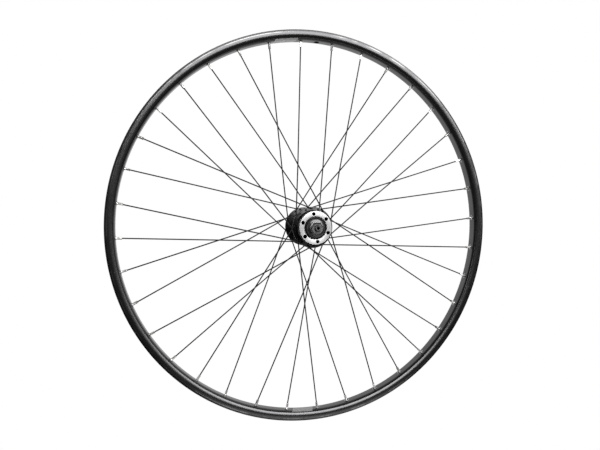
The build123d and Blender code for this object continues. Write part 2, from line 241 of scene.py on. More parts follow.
# Studio light: softboxes by azimuth and elevation, distance, width and height in metres, and radiance
SOFTBOXES = {
    "front_softbox": (18.0, 26.0, 2.6, 2.2, 1.15, 7.0),
    "left_softbox": (-50.0, 18.0, 2.6, 0.6, 1.0, 4.0),
    "low_fill": (14.4, -43.0, 0.98, 0.7, 0.26, 1.5),
    "right_fill": (42.0, 7.0, 2.6, 0.7, 0.4, 1.6),
}
BACKDROP_LIGHT = 1.15
BACKDROP_EDGE = 0.6
ROOM_LIGHT = 0.045
FLOOR_SIZE = 6.0


# Meshes


def double_area(spots):
    """Twice the area that the spots go round, above zero if they go anticlockwise."""
    return sum(a.cross(b) for a, b in zip(spots, spots[1:] + spots[:1]))


def rounded(corners):
    """A closed outline from (radius, y, round) corners, with an arc at each corner that has a round."""
    points = []
    for i, (radius, y, size) in enumerate(corners):
        here = Vector((radius, y))
        if not size:
            points.append(here)
            continue
        before = (Vector(corners[i - 1][:2]) - here).normalized()
        after = (Vector(corners[(i + 1) % len(corners)][:2]) - here).normalized()
        half = before.angle(after) / 2
        centre = here + (before + after).normalized() * (size / sin(half))
        start = here + before * (size / tan(half)) - centre
        end = here + after * (size / tan(half)) - centre
        turn = (pi - 2 * half) * (1 if start.cross(end) > 0 else -1)
        steps = max(2, ceil(abs(turn) / radians(ROUND_STEP)))
        points += [centre + Matrix.Rotation(turn * k / steps, 2) @ start for k in range(steps + 1)]
    return points


def mirrored(half):
    """Corners at +y, followed back along -y."""
    return half + [(radius, -y, size) for radius, y, size in reversed(half)]


def on_side(side, corners):
    """Corners drawn at +y, put on that side of the wheel."""
    return [(radius, SIDES[side] * y, size) for radius, y, size in corners]


def inset(corners, distance):
    """The corners of an outline moved in by a wall's thickness."""
    spots = [Vector(corner[:2]) for corner in corners]
    inward = distance if double_area(spots) > 0 else -distance
    moved = []
    for i, here in enumerate(spots):
        before = (here - spots[i - 1]).normalized()
        after = (spots[(i + 1) % len(spots)] - here).normalized()
        normals = Vector((-before.y, before.x)), Vector((-after.y, after.x))
        shift = (normals[0] + normals[1]) * (inward / (1 + normals[0].dot(normals[1])))
        moved.append((*(here + shift), 0))
    return moved


def lathe(outline, steps, shape=None, hollow=False):
    """A ring about Y with that outline. shape gives a point's radius where the ring isn't round."""
    if (double_area(outline) < 0) != hollow:
        outline = outline[::-1]
    mesh = bmesh.new()
    rings = []
    for k in range(steps):
        angle = 2 * pi * k / steps
        ring = []
        for radius, y in outline:
            r = shape(radius, y, angle) if shape else radius
            ring.append(mesh.verts.new((r * cos(angle), y, r * sin(angle))))
        rings.append(ring)
    for k in range(steps):
        here, there = rings[k - 1], rings[k]
        for i in range(len(outline)):
            mesh.faces.new((here[i - 1], here[i], there[i], there[i - 1]))
    return mesh


def drill(mesh, rings, place, steps=HOLE_STEPS):
    """Adds a cutter along +Y of that place, through (radius, distance) rings."""
    loops = []
    for radius, distance in rings:
        loop = []
        for k in range(steps):
            angle = 2 * pi * k / steps
            spot = Vector((radius * cos(angle), distance, radius * sin(angle)))
            loop.append(mesh.verts.new(place @ spot))
        loops.append(loop)
    for below, above in zip(loops, loops[1:]):
        for k in range(steps):
            mesh.faces.new((below[k - 1], above[k - 1], above[k], below[k]))
    mesh.faces.new(loops[0])
    mesh.faces.new(loops[-1][::-1])


def stored(mesh, name="blank"):
    """Mesh data made from a mesh, which is used up."""
    data = bpy.data.meshes.new(name)
    mesh.to_mesh(data)
    mesh.free()
    return data


def placed(name, data):
    """A new object in the scene."""
    made = bpy.data.objects.new(name, data)
    bpy.context.scene.collection.objects.link(made)
    return made


def joined(*meshes):
    """Several meshes as one."""
    whole = bmesh.new()
    for mesh in meshes:
        data = stored(mesh)
        whole.from_mesh(data)
        bpy.data.meshes.remove(data)
    return whole


def repeated(mesh, places):
    """A copy of a mesh at each place, as one mesh."""
    data = stored(mesh)
    whole = bmesh.new()
    for place in places:
        done = len(whole.verts)
        whole.from_mesh(data)
        whole.verts.ensure_lookup_table()
        bmesh.ops.transform(whole, matrix=place, verts=whole.verts[done:])
    bpy.data.meshes.remove(data)
    return whole


def cut_away(solid, cutters):
    """The solid without what its cutters take out."""
    bmesh.ops.recalc_face_normals(cutters, faces=cutters.faces)
    work, tools = (placed("blank", stored(mesh)) for mesh in (solid, cutters))
    holes = work.modifiers.new("holes", "BOOLEAN")
    holes.operation = "DIFFERENCE"
    holes.solver = "EXACT"
    holes.object = tools
    result = bmesh.new()
    result.from_object(work, bpy.context.evaluated_depsgraph_get())
    for blank in (work, tools):
        bpy.data.meshes.remove(blank.data)
    return result


def piece(name, mesh, body, finish, nodes=(), sharp=SHARP_ANGLE):
    """A piece of the wheel that rides on a body and takes the place of CAD nodes."""
    bmesh.ops.scale(mesh, vec=(MM, MM, MM), verts=mesh.verts)
    data = stored(mesh, name)
    data.shade_smooth()
    data.set_sharp_from_angle(angle=radians(sharp))
    data.materials.append(finish)
    made = placed(name, data)
    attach(made, body)
    if nodes:
        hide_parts(*nodes)
    return made


def outward(angle):
    """A place on the axle whose +Y points to that angle of the rim."""
    return Matrix.Rotation(-radians(angle), 4, "Y") @ Matrix.Rotation(-pi / 2, 4, "Z")


def on_circle(radius, angle, y=0.0):
    """A point at that angle round the axle, anticlockwise seen from the disc side."""
    return Vector((radius * cos(radians(angle)), y, radius * sin(radians(angle))))


def zigzag(count):
    """1 at each whole count, falling evenly to 0 halfway to the next."""
    return abs(count % 1 - 0.5) * 2


# Lacing


def rim_angle(n):
    """Where spoke n meets the rim. The valve hole is half a pitch before the first spoke."""
    return VALVE_ANGLE + PITCH * (n + 0.5)


def lacing(n):
    """The flange that spoke n is hooked in, and which way it leans."""
    return ("disc", "plain")[n % 2], (1, 1, -1, -1)[n % 4]


def hub_angle(n):
    """Where spoke n's hole is in its flange."""
    _, turn = lacing(n)
    return rim_angle(n) + turn * 2 * PITCH * CROSSES


def nipple_place(n):
    """Where spoke n's nipple sits: at its pivot, in line with the spoke from its last crossing."""
    side, turn = lacing(n)
    hole = on_circle(FLANGE_HOLE_CIRCLE[side], hub_angle(n))
    pivot = on_circle(NIPPLE_PIVOT, rim_angle(n))
    bearing = radians(rim_angle(n) + turn * PITCH)
    across = Vector((-sin(bearing), 0, cos(bearing)))
    share = hole.dot(across) / (hole - pivot).dot(across)
    crossing = hole + (pivot - hole) * share
    crossing.y = FLANGE_PLANE[side] * (1 - share)
    crossing.y += SIDES[side] * turn * (SPOKE_RADIUS + CROSSING_CLEARANCE / 2)
    along = (pivot - crossing).normalized()
    flat = (Vector((0, 1, 0)) - along * along.y).normalized()
    turned = Matrix((flat, along, flat.cross(along))).transposed().to_4x4()
    return Matrix.Translation(pivot) @ turned


# Finishes


def add_node(tree, kind, **settings):
    """A shader node, with its properties and unlinked inputs set by name."""
    node = tree.nodes.new(kind)
    for name, value in settings.items():
        if hasattr(node, name):
            setattr(node, name, value)
        else:
            node.inputs[name.replace("_", " ")].default_value = value
    return node


def work_out(tree, operation, *terms):
    """A math node's result from values and sockets."""
    node = add_node(tree, "ShaderNodeMath", operation=operation)
    for socket, term in zip(node.inputs, terms):
        if isinstance(term, (int, float)):
            socket.default_value = term
        else:
            tree.links.new(term, socket)
    return node.outputs[0]


def spread(tree, value, low, high, to_low=0.0, to_high=1.0):
    """A value taken smoothly from one range to another."""
    node = add_node(tree, "ShaderNodeMapRange", interpolation_type="SMOOTHSTEP")
    for name, number in zip(("From Min", "From Max", "To Min", "To Max"), (low, high, to_low, to_high)):
        node.inputs[name].default_value = number
    tree.links.new(value, node.inputs["Value"])
    return node.outputs["Result"]


def band(tree, value, middle, half, soft):
    """1 within half of the middle, falling to 0 over a soft edge."""
    away = work_out(tree, "ABSOLUTE", work_out(tree, "SUBTRACT", value, middle))
    return spread(tree, away, half, half + soft, to_low=1.0, to_high=0.0)


def grain(tree, place, scale, detail):
    """Cloudy variation over the surface."""
    node = add_node(tree, "ShaderNodeTexNoise", Scale=scale, Detail=detail)
    tree.links.new(place, node.inputs["Vector"])
    return node.outputs["Fac"]


def grey(shade):
    """A colour with no hue."""
    return (shade, shade, shade)


def tint(tree, mask, under, over, share=1.0):
    """One colour over another where the mask says, or a share of it."""
    node = add_node(tree, "ShaderNodeMix", data_type="RGBA")
    # The mix node has sockets of the same name for numbers and vectors before those for colours
    factor, first, second, mixed = node.inputs[0], node.inputs[6], node.inputs[7], node.outputs[2]
    for socket, colour in ((first, under), (second, over)):
        if isinstance(colour, tuple):
            socket.default_value = (*colour, 1)
        else:
            tree.links.new(colour, socket)
    tree.links.new(mask if share == 1.0 else work_out(tree, "MULTIPLY", mask, share), factor)
    return mixed


def new_group(name, inputs, outputs):
    """An empty node group with those float sockets, its input node and its output node."""
    tree = bpy.data.node_groups.new(name, "ShaderNodeTree")
    for names, way in ((inputs, "INPUT"), (outputs, "OUTPUT")):
        for socket in names:
            tree.interface.new_socket(socket, in_out=way, socket_type="NodeSocketFloat")
    return tree, add_node(tree, "NodeGroupInput"), add_node(tree, "NodeGroupOutput")


def use_group(tree, group, **values):
    """A group placed in a material with its own values."""
    node = add_node(tree, "ShaderNodeGroup")
    node.node_tree = group
    for name, value in values.items():
        node.inputs[name].default_value = value
    return node.outputs


def make_wheel_place():
    """Distance from the axle in millimetres, angle round it in turns, and y in millimetres."""
    tree, _, out = new_group("wheel_place", (), ("Radius", "Turn", "Across"))
    place = add_node(tree, "ShaderNodeTexCoord").outputs["Object"]
    split = add_node(tree, "ShaderNodeSeparateXYZ")
    tree.links.new(place, split.inputs[0])
    x, y, z = split.outputs
    square = work_out(tree, "ADD", work_out(tree, "MULTIPLY", x, x), work_out(tree, "MULTIPLY", z, z))
    tree.links.new(work_out(tree, "DIVIDE", work_out(tree, "SQRT", square), MM), out.inputs["Radius"])
    turn = work_out(tree, "DIVIDE", work_out(tree, "ARCTAN2", z, x), 2 * pi)
    tree.links.new(turn, out.inputs["Turn"])
    tree.links.new(work_out(tree, "DIVIDE", y, MM), out.inputs["Across"])
    return tree


def make_turning_lines():
    """Fine rings that a lathe or a rolling mill leaves round the axle, Lines to the millimetre."""
    tree, given, out = new_group("turning_lines", ("Lines",), ("Height",))
    place = use_group(tree, WHEEL_PLACE)
    spot = add_node(tree, "ShaderNodeCombineXYZ")
    lines = given.outputs["Lines"]
    tree.links.new(work_out(tree, "MULTIPLY", place["Radius"], lines), spot.inputs["X"])
    tree.links.new(work_out(tree, "MULTIPLY", place["Turn"], LINE_CHANGES_ROUND), spot.inputs["Y"])
    tree.links.new(work_out(tree, "MULTIPLY", place["Across"], lines), spot.inputs["Z"])
    tree.links.new(grain(tree, spot.outputs[0], scale=1.0, detail=2.0), out.inputs["Height"])
    return tree


def make_handling_marks():
    """Scuffs and dusty patches from use. Amount sets how many scuffs there are, Size how fine they are."""
    tree, given, out = new_group("handling_marks", ("Amount", "Size"), ("Scuffs", "Dust"))
    place = add_node(tree, "ShaderNodeTexCoord").outputs["Object"]
    stretched = add_node(tree, "ShaderNodeVectorMath", operation="SCALE")
    tree.links.new(place, stretched.inputs[0])
    tree.links.new(given.outputs["Size"], stretched.inputs["Scale"])
    spots = grain(tree, stretched.outputs[0], scale=3.0, detail=6.0)
    drop = work_out(tree, "MULTIPLY", given.outputs["Amount"], SCUFF_LEVEL_DROP)
    level = work_out(tree, "SUBTRACT", SCUFF_LEVEL, drop)
    over = work_out(tree, "MULTIPLY", work_out(tree, "SUBTRACT", spots, level), SCUFF_CONTRAST)
    clipped = add_node(tree, "ShaderNodeClamp")
    tree.links.new(over, clipped.inputs["Value"])
    tree.links.new(clipped.outputs[0], out.inputs["Scuffs"])
    tree.links.new(grain(tree, stretched.outputs[0], scale=0.6, detail=4.0), out.inputs["Dust"])
    return tree


def new_finish(name, metallic):
    """A material, its node tree and its shader."""
    material = bpy.data.materials.new(name)
    material.use_nodes = True
    tree = material.node_tree
    shader = tree.nodes["Principled BSDF"]
    shader.inputs["Metallic"].default_value = metallic
    return material, tree, shader


def patches(tree, marks, dark, pale):
    """Two shades of one colour, in soft patches."""
    return tint(tree, spread(tree, marks["Dust"], *CLOUDS), dark, pale)


def raise_marks(tree, shader, height, strength, depth):
    """Small relief that the light catches."""
    bump = add_node(tree, "ShaderNodeBump", Strength=strength, Distance=depth * MM)
    tree.links.new(height, bump.inputs["Height"])
    tree.links.new(bump.outputs[0], shader.inputs["Normal"])


def patchy_finish(name, metallic, marks, shades, scuffed, roughness, relief, clouds=CLOUDS):
    """A finish in patches of two shades, with scuffs.

    relief is the mark that stands out and how far. clouds is where the roughness starts and stops changing.
    """
    material, tree, shader = new_finish(name, metallic)
    worn = use_group(tree, HANDLING_MARKS, **marks)
    colour = tint(tree, worn["Scuffs"], patches(tree, worn, *shades), scuffed)
    tree.links.new(colour, shader.inputs["Base Color"])
    tree.links.new(spread(tree, worn["Dust"], *clouds, *roughness), shader.inputs["Roughness"])
    mark, strength = relief
    raise_marks(tree, shader, worn[mark], strength, depth=0.02)
    return material


def drawn_spoke_steel():
    """Dull drawn stainless wire."""
    return patchy_finish(
        "drawn_spoke_steel",
        metallic=1.0,
        marks={"Amount": 0.3, "Size": 90.0},
        shades=((0.03, 0.03, 0.031), (0.045, 0.045, 0.046)),
        scuffed=grey(0.02),
        roughness=(0.36, 0.46),
        relief=("Dust", 0.1),
        clouds=(0.25, 0.75),
    )


def nickel_nipple():
    """Bright nickel plating, a little cloudy."""
    return patchy_finish(
        "nickel_nipple",
        metallic=0.8,
        marks={"Amount": 0.3, "Size": 240.0},
        shades=((0.76, 0.75, 0.73), (0.86, 0.85, 0.83)),
        scuffed=(0.4, 0.39, 0.37),
        roughness=(0.24, 0.32),
        relief=("Scuffs", 0.15),
    )


def pressed_eyelet_steel():
    """Bright pressed steel with drawing marks."""
    return patchy_finish(
        "pressed_eyelet_steel",
        metallic=1.0,
        marks={"Amount": 0.35, "Size": 300.0},
        shades=((0.3, 0.3, 0.295), (0.4, 0.4, 0.395)),
        scuffed=(0.2, 0.2, 0.195),
        roughness=(0.18, 0.3),
        relief=("Dust", 0.1),
    )


def rubber_boot():
    """Dark satin rubber with a dusty bloom."""
    material = patchy_finish(
        "rubber_boot",
        metallic=0.0,
        marks={"Amount": 0.4, "Size": 260.0},
        shades=(grey(0.02), (0.04, 0.04, 0.039)),
        scuffed=(0.07, 0.07, 0.068),
        roughness=(0.2, 0.28),
        relief=("Dust", 0.1),
    )
    material.node_tree.nodes["Principled BSDF"].inputs["IOR"].default_value = 1.75
    return material


def label_film(name, pale):
    """Film, worn thin in places."""
    return patchy_finish(
        name,
        metallic=0.0,
        marks={"Amount": 0.4, "Size": 160.0},
        shades=(grey(0.8 * pale), grey(pale)),
        scuffed=grey(0.5 * pale),
        roughness=(0.35, 0.5),
        relief=("Scuffs", 0.2),
    )


def turned_steel(name, dark, pale, shine, dull):
    """Turned steel: rings from the lathe, darker in patches, with a few scuffs."""
    material, tree, shader = new_finish(name, metallic=1.0)
    marks = use_group(tree, HANDLING_MARKS, Amount=0.35, Size=260.0)
    lines = use_group(tree, TURNING_LINES, Lines=6.0)["Height"]
    steel = patches(tree, marks, grey(dark), grey(pale))
    tree.links.new(tint(tree, marks["Scuffs"], steel, grey(pale * 1.3)), shader.inputs["Base Color"])
    tree.links.new(spread(tree, lines, *CLOUDS, shine, dull), shader.inputs["Roughness"])
    raise_marks(tree, shader, lines, strength=0.15, depth=0.02)
    return material


def anodised_rim():
    """Satin black anodising, rolled lines round the hoop, a fine joint, and a pale outer edge, partly
    rubbing wear and partly a painted highlight.
    """
    material, tree, shader = new_finish("anodised_rim", metallic=1.0)
    place = use_group(tree, WHEEL_PLACE)
    marks = use_group(tree, HANDLING_MARKS, Amount=0.35, Size=60.0)
    lines = use_group(tree, TURNING_LINES, Lines=0.7)["Height"]
    # The pale band where the side meets the lip is partly rubbing wear, in patches, and partly a painted
    # highlight
    edge = band(tree, place["Radius"], LIP_START, half=0.25, soft=0.5)
    rubbed_and_highlit = work_out(tree, "MULTIPLY", edge, spread(tree, marks["Dust"], low=0.42, high=0.62))
    turn = work_out(tree, "SUBTRACT", place["Turn"], (VALVE_ANGLE - 180) / 360)
    joint = band(tree, turn, 0.0, half=JOINT_HALF_TURNS, soft=JOINT_HALF_TURNS)
    black = patches(tree, marks, (0.084, 0.084, 0.086), (0.096, 0.096, 0.098))
    # Painted highlight with rubbing wear: the pale colour laid along that band
    worn = tint(tree, rubbed_and_highlit, black, (0.3, 0.3, 0.295), share=0.8)
    scuffed = tint(tree, marks["Scuffs"], worn, (0.16, 0.16, 0.157), share=0.15)
    tree.links.new(tint(tree, joint, scuffed, grey(0.001)), shader.inputs["Base Color"])
    satin = spread(tree, lines, *CLOUDS, to_low=0.26, to_high=0.28)
    dulled = work_out(tree, "ADD", satin, work_out(tree, "MULTIPLY", marks["Scuffs"], 0.2))
    tree.links.new(dulled, shader.inputs["Roughness"])
    raise_marks(tree, shader, work_out(tree, "SUBTRACT", lines, joint), strength=0.02, depth=0.01)
    return material


def black_hub():
    """Black anodising, bare where the disc's face is machined bright."""
    material, tree, shader = new_finish("black_hub", metallic=1.0)
    place = use_group(tree, WHEEL_PLACE)
    marks = use_group(tree, HANDLING_MARKS, Amount=0.3, Size=140.0)
    lines = use_group(tree, TURNING_LINES, Lines=1.6)["Height"]
    face = band(tree, place["Across"], -DISC_FACE, half=0.02, soft=0.03)
    middle, half = (DISC_RADIUS + RELIEF_RADIUS) / 2, (DISC_RADIUS - RELIEF_RADIUS) / 2
    bare = work_out(tree, "MULTIPLY", face, band(tree, place["Radius"], middle, half, soft=0.1))
    black = patches(tree, marks, (0.034, 0.034, 0.035), (0.048, 0.048, 0.049))
    scuffed = tint(tree, marks["Scuffs"], black, (0.08, 0.08, 0.079), share=0.3)
    bright = tint(tree, lines, (0.92, 0.92, 0.918), (0.96, 0.96, 0.958))
    tree.links.new(tint(tree, bare, scuffed, bright), shader.inputs["Base Color"])
    satin = spread(tree, lines, *CLOUDS, to_low=0.29, to_high=0.32)
    dulled = work_out(tree, "ADD", satin, work_out(tree, "MULTIPLY", bare, 0.1))
    tree.links.new(dulled, shader.inputs["Roughness"])
    shader.inputs["Anisotropic"].default_value = 0.35
    shader.inputs["Anisotropic Rotation"].default_value = 0.25
    round_axle = add_node(tree, "ShaderNodeTangent", direction_type="RADIAL", axis="Y")
    tree.links.new(round_axle.outputs[0], shader.inputs["Tangent"])
    raise_marks(tree, shader, lines, strength=0.02, depth=0.01)
    return material


# Pieces


def rim_corners():
    """The hoop's corners at +y: spoke bed, side, hooked lip and tyre well."""
    bed = [
        (BED_RADIUS, BED_SIDE, BED_ROUND),
        (KNUCKLE_RADIUS, KNUCKLE_SIDE, KNUCKLE_ROUND),
        (SIDE_START, RIM_SIDE, SIDE_ROUND),
    ]
    lip = [
        (LIP_START, RIM_SIDE, EDGE_ROUND),
        (RIM_RADIUS, LIP_OUTSIDE, EDGE_ROUND),
        (RIM_RADIUS, LIP_INSIDE, HOOK_ROUND),
        (HOOK_TOP, HOOK_TIP, HOOK_ROUND),
        (HOOK_BOTTOM, HOOK_TIP, HOOK_ROUND),
        (HOOK_ROOT, CHANNEL_SIDE, HOOK_ROUND),
    ]
    well = [
        (SEAT_RADIUS, CHANNEL_SIDE, EDGE_ROUND),
        (SEAT_RADIUS, SEAT_SIDE, WELL_ROUND),
        (WELL_RADIUS, WELL_SIDE, WELL_ROUND),
    ]
    return bed, lip, well


def make_rim(finish):
    """A hoop with a closed chamber, spoke holes, access holes above them and a valve hole."""
    bed, lip, well = rim_corners()
    hoop = lathe(rounded(mirrored(bed + lip + well)), RIM_STEPS)
    chamber = lathe(rounded(inset(mirrored(bed + well), RIM_WALL)), RIM_STEPS, hollow=True)
    cutters = bmesh.new()
    inside, outside = BED_RADIUS - CUTTER_REACH, RIM_RADIUS + CUTTER_REACH
    flared = VALVE_HOLE_RADIUS + HOLE_BREAK
    valve = [
        (flared, inside),
        (flared, BED_RADIUS - FLARE_START),
        (VALVE_HOLE_RADIUS, BED_RADIUS + HOLE_BREAK),
        (VALVE_HOLE_RADIUS, WELL_RADIUS - HOLE_BREAK),
        (flared, WELL_RADIUS),
        (flared, outside),
    ]
    access = [
        (ACCESS_HOLE_RADIUS, CHAMBER_MIDDLE + CUTTER_GAP),
        (ACCESS_HOLE_RADIUS, WELL_RADIUS - HOLE_BREAK),
        (ACCESS_HOLE_RADIUS + HOLE_BREAK, WELL_RADIUS),
        (ACCESS_HOLE_RADIUS + HOLE_BREAK, outside),
    ]
    eyelet = [(EYELET_HOLE_RADIUS, inside), (EYELET_HOLE_RADIUS, CHAMBER_MIDDLE - CUTTER_GAP)]
    drill(cutters, valve, outward(VALVE_ANGLE))
    for n in range(SPOKES):
        place = outward(rim_angle(n))
        drill(cutters, eyelet, place)
        drill(cutters, access, place)
    piece("rim_hoop", cut_away(joined(hoop, chamber), cutters), "wheel", finish, ["rim"])


def make_eyelets(finish):
    """Rolled rings that line the spoke holes."""
    underside = EYELET_SEAT - EYELET_FLANGE_THICKNESS
    corners = [
        (EYELET_BORE_RADIUS, underside, EYELET_FLANGE_ROUND),
        (EYELET_FLANGE_RADIUS, underside, EYELET_FLANGE_ROUND),
        (EYELET_FLANGE_RADIUS, EYELET_SEAT, 0),
        (EYELET_TUBE_RADIUS, EYELET_SEAT, 0),
        (EYELET_TUBE_RADIUS, EYELET_TOP, EYELET_TOP_ROUND),
        (EYELET_BORE_RADIUS, EYELET_TOP, EYELET_TOP_ROUND),
    ]
    ring = lathe(rounded(corners), EYELET_STEPS)
    rings = repeated(ring, [outward(rim_angle(n)) for n in range(SPOKES)])
    piece("eyelet_rings", rings, "wheel", finish, ["eyelets"])


def nipple_shape(radius, y, angle):
    """Four flats on the shank, which run out below the round neck."""
    share = min(1, max(0, (NIPPLE_SHANK_TOP - y) / NIPPLE_SHANK_FADE))
    if share == 0:
        return radius
    flat = NIPPLE_RADIUS - NIPPLE_FLAT_DEPTH * sqrt(share)
    return min(radius, flat / max(abs(cos(angle)), abs(sin(angle))))


def make_nipples(finish):
    """Nipples with a flatted shank, a coned neck and a slotted head, each turned its own way."""
    fade = [1 - k / NIPPLE_FADE_ROWS for k in range(NIPPLE_FADE_ROWS + 1)]
    corners = [
        (NIPPLE_BORE_RADIUS, NIPPLE_FOOT, NIPPLE_BORE_ROUND),
        (NIPPLE_RADIUS, NIPPLE_FOOT, NIPPLE_FOOT_ROUND),
        *((NIPPLE_RADIUS, NIPPLE_SHANK_TOP - NIPPLE_SHANK_FADE * share, 0) for share in fade),
        (NIPPLE_RADIUS, NIPPLE_NECK_TOP, NIPPLE_NECK_ROUND),
        (NIPPLE_HEAD_RADIUS, NIPPLE_HEAD_EDGE, NIPPLE_EDGE_ROUND),
        (NIPPLE_HEAD_RADIUS, NIPPLE_HEAD_TOP, NIPPLE_TOP_ROUND),
        (NIPPLE_BORE_RADIUS, NIPPLE_HEAD_TOP, NIPPLE_BORE_ROUND),
    ]
    body = lathe(rounded(corners), NIPPLE_STEPS, nipple_shape)
    slot = bmesh.new()
    width, depth, length = NIPPLE_SLOT_WIDTH, 2 * NIPPLE_SLOT_DEPTH, 3 * NIPPLE_HEAD_RADIUS
    bmesh.ops.create_cube(slot, matrix=Matrix.Diagonal((width, depth, length, 1)))
    bmesh.ops.translate(slot, vec=(0, NIPPLE_HEAD_TOP, 0), verts=slot.verts)
    places = [nipple_place(n) @ Matrix.Rotation(radians(NIPPLE_TURN * n), 4, "Y") for n in range(SPOKES)]
    nipples = repeated(cut_away(body, slot), places)
    piece("nipples", nipples, "wheel", finish, ["spoke_nipples"])


def flange_corners(side, root_out, root_in):
    """A spoke flange from its root on the outside to its edge and back to the barrel."""
    out, plane, holes = SIDES[side], FLANGE_PLANE[side], FLANGE_HOLE_CIRCLE[side]
    edge = holes + FLANGE_MARGIN

    def half(radius):
        return FLANGE_HALF - (radius - holes) * tan(radians(FLANGE_CONE))

    return [
        (root_out, plane + out * half(root_out), FLANGE_ROOT_ROUND),
        (edge, plane + out * half(edge), FLANGE_EDGE_ROUND),
        (edge, plane - out * half(edge), FLANGE_EDGE_ROUND),
        (root_in, plane - out * half(root_in), BARREL_FILLET),
    ]


def make_hub_shell(finish):
    """The shell from its disc end to its plain end, then its inside back again."""
    disc_end = [
        (MOUTH_RADIUS, -SHELL_END, MOUTH_ROUND),
        (REGISTER_RADIUS, -SHELL_END, SHELL_END_ROUND),
        (REGISTER_RADIUS, RELIEF_DEPTH - DISC_FACE, RELIEF_ROUND),
        (RELIEF_RADIUS, RELIEF_DEPTH - DISC_FACE, RELIEF_ROUND),
        (RELIEF_RADIUS, -DISC_FACE, DISC_FACE_ROUND),
        (DISC_RADIUS - DISC_CHAMFER, -DISC_FACE, DISC_FACE_ROUND),
        (DISC_RADIUS, DISC_CHAMFER - DISC_FACE, DISC_ROUND),
    ]
    plain_end = [(STUB_RADIUS, SHELL_END, SHELL_END_ROUND), (MOUTH_RADIUS, SHELL_END, MOUTH_ROUND)]
    inside = [
        (MOUTH_RADIUS, CUP_END, 0),
        (CUP_RADIUS, CUP_END, 0),
        (CUP_RADIUS, CUP_BACK, 0),
        (BARREL_BORE_RADIUS, CUP_BACK, 0),
    ]
    disc_flange = flange_corners("disc", DISC_RADIUS, BARREL_RADIUS)
    plain_flange = flange_corners("plain", STUB_RADIUS, BARREL_RADIUS)[::-1]
    shell = lathe(rounded(disc_end + disc_flange + plain_flange + plain_end + mirrored(inside)), HUB_STEPS)
    cutters = bmesh.new()
    spoke_hole = [(SPOKE_HOLE_RADIUS, -SPOKE_HOLE_REACH), (SPOKE_HOLE_RADIUS, SPOKE_HOLE_REACH)]
    for n in range(SPOKES):
        side, _ = lacing(n)
        middle = on_circle(FLANGE_HOLE_CIRCLE[side], hub_angle(n), FLANGE_PLANE[side])
        drill(cutters, spoke_hole, Matrix.Translation(middle), SPOKE_HOLE_STEPS)
    bolt_hole = [
        (BOLT_HOLE_RADIUS + BOLT_HOLE_BREAK, -CUTTER_REACH),
        (BOLT_HOLE_RADIUS + BOLT_HOLE_BREAK, 0),
        (BOLT_HOLE_RADIUS, BOLT_HOLE_BREAK),
        (BOLT_HOLE_RADIUS, BOLT_DEPTH),
    ]
    for i in range(BOLTS):
        mouth = on_circle(BOLT_CIRCLE_RADIUS, BOLT_ANGLE + 360 / BOLTS * i, -DISC_FACE)
        drill(cutters, bolt_hole, Matrix.Translation(mouth))
    piece("hub_body", cut_away(shell, cutters), "wheel", finish, ["hub_shell"])


def node_reach(name):
    """A turned node's two ends along the axle, the nearer first, and its radius."""
    low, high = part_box(name)
    return *sorted((abs(low[1]) / MM, abs(high[1]) / MM)), high[0] / MM


def make_washer(side, finish):
    """A flat steel ring with broken edges, between cone and locknut."""
    inner, outer, widest = node_reach(f"washer_{side}_side")
    corners = [
        (LOCKNUT_BORE_RADIUS, inner, 0),
        (widest, inner, WASHER_EDGE),
        (widest, outer, WASHER_EDGE),
        (LOCKNUT_BORE_RADIUS, outer, 0),
    ]
    ring = lathe(rounded(on_side(side, corners)), RING_STEPS)
    piece(f"washer_{side}", ring, "axle_set", finish, [f"washer_{side}_side"])


def make_boot(side, finish):
    """A dished rubber cap with a collar, over the cone and behind the washer."""
    inner, outer, widest = node_reach(f"boot_{side}_side")
    shoulder = inner + BOOT_SHOULDER
    slope_top = shoulder + (widest - BOOT_COLLAR_RADIUS) * tan(radians(BOOT_TILT))
    corners = [
        (BOOT_BORE_RADIUS, inner, BOOT_COLLAR_ROUND),
        (widest, inner, BOOT_EDGE_ROUND),
        (widest, shoulder, BOOT_ROUND),
        (BOOT_COLLAR_RADIUS, slope_top, BOOT_ROUND),
        (BOOT_COLLAR_RADIUS, outer, BOOT_COLLAR_ROUND),
        (BOOT_BORE_RADIUS, outer, BOOT_COLLAR_ROUND),
    ]
    cap = lathe(rounded(on_side(side, corners)), RING_STEPS)
    piece(f"boot_cap_{side}", cap, "axle_set", finish, [f"boot_{side}_side"])


def hexagon_shape(radius, y, angle):
    """A turned blank cut to a hexagon with a flat at the top."""
    return min(radius, LOCKNUT_HALF_FLATS / cos((angle % (pi / 3)) - pi / 6))


def make_locknut(side, finish):
    """A hexagon with turned chamfers, and a face that grips the dropout."""
    corner = LOCKNUT_HALF_FLATS / cos(pi / 6)
    rise = LOCKNUT_CHAMFER * tan(radians(LOCKNUT_CHAMFER_ANGLE))
    corners = [
        (LOCKNUT_BORE_RADIUS, LOCKNUT_BACK, 0),
        (corner - LOCKNUT_CHAMFER, LOCKNUT_BACK, 0),
        (corner, LOCKNUT_BACK + rise, 0),
        (corner, LOCKNUT_FACE - rise, 0),
        (corner - LOCKNUT_CHAMFER, LOCKNUT_FACE, 0),
        (SERRATION_END, LOCKNUT_FACE, 0),
        (SERRATION_START, LOCKNUT_FACE, 0),
        (LOCKNUT_BORE_RADIUS + LOCKNUT_MOUTH_CHAMFER, LOCKNUT_FACE, 0),
        (LOCKNUT_BORE_RADIUS, LOCKNUT_FACE - LOCKNUT_MOUTH_CHAMFER, 0),
    ]
    nut = lathe(rounded(on_side(side, corners)), SERRATION_STEPS * SERRATIONS, hexagon_shape)
    for vert in nut.verts:
        x, y, z = vert.co
        serrated = SERRATION_START - HAIR < sqrt(x**2 + z**2) < SERRATION_END + HAIR
        if serrated and abs(y) > LOCKNUT_FACE - HAIR:
            vert.co.y -= SIDES[side] * SERRATION_DEPTH * zigzag(atan2(z, x) / (2 * pi) * SERRATIONS)
    nodes = [f"locknut_{side}_side"]
    piece(f"locknut_{side}", nut, "axle_set", finish, nodes, NUT_SHARP_ANGLE)


